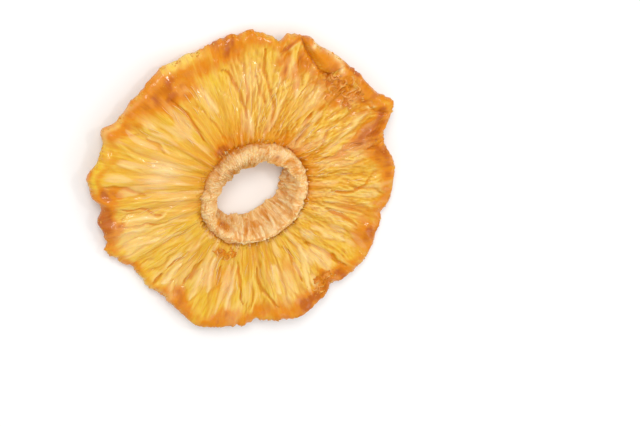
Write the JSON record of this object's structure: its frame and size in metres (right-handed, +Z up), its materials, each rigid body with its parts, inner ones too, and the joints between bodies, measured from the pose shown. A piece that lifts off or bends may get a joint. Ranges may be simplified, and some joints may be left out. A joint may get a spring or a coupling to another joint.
{
  "type": "dried pineapple ring",
  "caption": "Dried pineapple ring: a lobed, warped slice of fanned flesh round the tall slanting collar of its core, open in the middle.",
  "frame": {"origin": "middle of the ring's bounding box in plan, on the table that it lies on", "axes": "+Z up out of the side that the picture shows, +X to the picture's right, +Y to the picture's top"},
  "size_m": [0.0796, 0.0762, 0.0098],
  "materials": {
    "dried_flesh": "semi-gloss waxy dried flesh, golden yellow with orange edges and a paler tan collar"
  },
  "bodies": {
    "root": {"pineapple_ring": "dried_flesh"}
  },
  "joints": []
}
